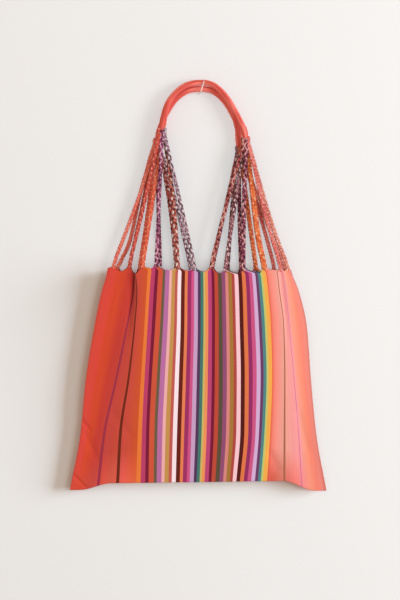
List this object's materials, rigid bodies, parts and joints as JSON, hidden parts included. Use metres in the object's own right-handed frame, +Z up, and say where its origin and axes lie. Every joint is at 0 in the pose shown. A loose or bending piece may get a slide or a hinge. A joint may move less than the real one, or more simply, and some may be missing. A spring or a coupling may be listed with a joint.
{
  "type": "hammock tote bag on a wall hook",
  "caption": "Flat warp-striped cotton tote with plaited warp cords gathered into tube handles, hanging on a thin wire wall hook.",
  "frame": {"origin": "centre of the wire hook's end face at the wall", "axes": "+Y out of the hook's end into the wall, +Z up along the hanging bag, +X to the right seen from the front"},
  "size_m": [0.452, 0.0299, 0.7212],
  "materials": {
    "bag_cotton": "matte woven cotton with warp stripes",
    "handle_cloth": "smooth tightly wrapped cotton",
    "hook_paint": "off-white painted wire",
    "yarn_coral": "matte cotton yarn, plaited",
    "yarn_red": "matte cotton yarn, plaited",
    "yarn_orange": "matte cotton yarn, plaited",
    "yarn_plum": "matte cotton yarn, plaited",
    "yarn_brown": "matte cotton yarn, plaited"
  },
  "bodies": {
    "root": {"bag_body": "bag_cotton", "handle_front": "handle_cloth", "handle_back": "handle_cloth", "hook": "hook_paint", "cord_front_01": "yarn_coral", "cord_front_02": "yarn_red", "cord_front_03": "yarn_coral", "cord_front_04": "yarn_plum", "cord_front_05": "yarn_brown", "cord_front_06": "yarn_plum", "cord_front_07": "yarn_red", "cord_front_08": "yarn_brown", "cord_front_09": "yarn_plum", "cord_front_10": "yarn_orange", "cord_front_11": "yarn_red", "cord_front_12": "yarn_coral", "cord_back_01": "yarn_red", "cord_back_02": "yarn_coral", "cord_back_03": "yarn_orange", "cord_back_04": "yarn_plum", "cord_back_05": "yarn_brown", "cord_back_06": "yarn_plum", "cord_back_07": "yarn_red", "cord_back_08": "yarn_brown", "cord_back_09": "yarn_plum", "cord_back_10": "yarn_orange", "cord_back_11": "yarn_coral", "cord_back_12": "yarn_coral"}
  },
  "joints": []
}
